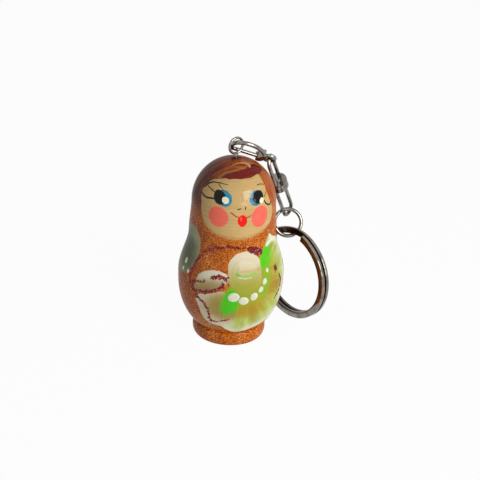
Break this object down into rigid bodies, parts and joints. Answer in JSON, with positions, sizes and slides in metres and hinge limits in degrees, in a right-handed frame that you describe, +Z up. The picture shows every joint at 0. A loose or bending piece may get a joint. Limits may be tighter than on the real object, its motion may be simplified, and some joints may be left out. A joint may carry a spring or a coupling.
{
  "type": "nesting doll key ring",
  "caption": "Turned and painted wooden nesting-doll figure on a key ring, held by a screw eye, claw clasp, riveted swivel, jump ring and split ring.",
  "frame": {"origin": "middle of the flat foot that the figure stands on", "axes": "+Z up through the figure, -Y the way the painted face looks"},
  "size_m": [0.0384, 0.0307, 0.0534],
  "materials": {
    "doll_paint": "painted and gloss lacquered",
    "nickel": "polished nickel plate",
    "ring_steel": "polished nickel plate",
    "spring_steel": "plain spring steel"
  },
  "bodies": {
    "doll": {"doll_body": "doll_paint", "screw_eye": "nickel"},
    "claw": {"claw_body": "nickel", "gate_pin": "nickel", "gate_spring": "spring_steel"},
    "gate": {"claw_gate": "nickel"},
    "upper_yoke": {"upper_yoke": "nickel", "swivel_rivet": "nickel"},
    "lower_yoke": {"lower_yoke": "nickel"},
    "jump_ring": {"jump_ring": "nickel"},
    "split_ring": {"split_ring": "ring_steel"}
  },
  "joints": [
    {"name": "claw_swing", "type": "hinge", "parent": "doll", "child": "claw", "pos_m": [0, 0, 0.05115], "axis": [0.4226, -0.9063, 0], "range_deg": [0, 100]},
    {"name": "gate_open", "type": "hinge", "parent": "claw", "child": "gate", "pos_m": [0.00637, 0.00262, 0.04712], "axis": [0.2295, 0.708, 0.6679], "range_deg": [0, 12], "stiffness_Nm_per_rad": 0.002},
    {"name": "yoke_swing", "type": "hinge", "parent": "claw", "child": "upper_yoke", "pos_m": [0.00896, 0.00227, 0.0466], "axis": [-0.3073, -0.8037, -0.5095], "range_deg": [0, 50]},
    {"name": "swivel_turn", "type": "hinge", "parent": "upper_yoke", "child": "lower_yoke", "pos_m": [0.00896, 0.00227, 0.0466], "axis": [0.3585, 0.3982, -0.8443], "range_deg": [-170, 0]},
    {"name": "jump_swing", "type": "hinge", "parent": "lower_yoke", "child": "jump_ring", "pos_m": [0.01707, 0.01127, 0.02751], "axis": [-0.5903, -0.604, -0.5355], "range_deg": [0, 50]},
    {"name": "ring_swing", "type": "hinge", "parent": "jump_ring", "child": "split_ring", "pos_m": [0.01639, 0.0079, 0.02225], "axis": [-0.9976, 0.0698, 0], "range_deg": [-45, 40]}
  ]
}
